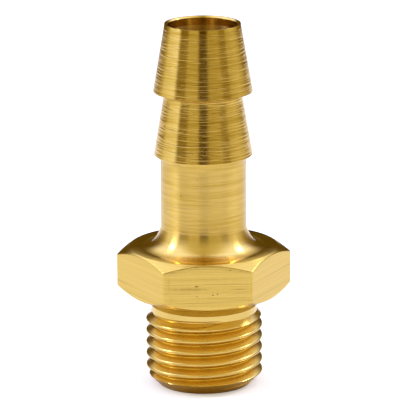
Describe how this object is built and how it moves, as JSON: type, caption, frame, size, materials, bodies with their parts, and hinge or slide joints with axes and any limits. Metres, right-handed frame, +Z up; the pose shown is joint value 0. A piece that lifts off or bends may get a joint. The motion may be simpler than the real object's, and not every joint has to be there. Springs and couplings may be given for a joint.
{
  "type": "hose barb tail",
  "caption": "Straight brass hose tail: barbed spigot for a push-on hose, hexagon for a spanner and male parallel pipe thread, bored right through.",
  "frame": {"origin": "on the axis of the bore, in the flat face of the threaded end", "axes": "+Z up the axis from the threaded end to the barbed end; -Y square to one flat of the hexagon"},
  "size_m": [0.0196, 0.017, 0.0414],
  "materials": {
    "brass": "turned and milled, bright, unplated"
  },
  "bodies": {
    "root": {"hose_barb_tail": "brass"}
  },
  "joints": []
}
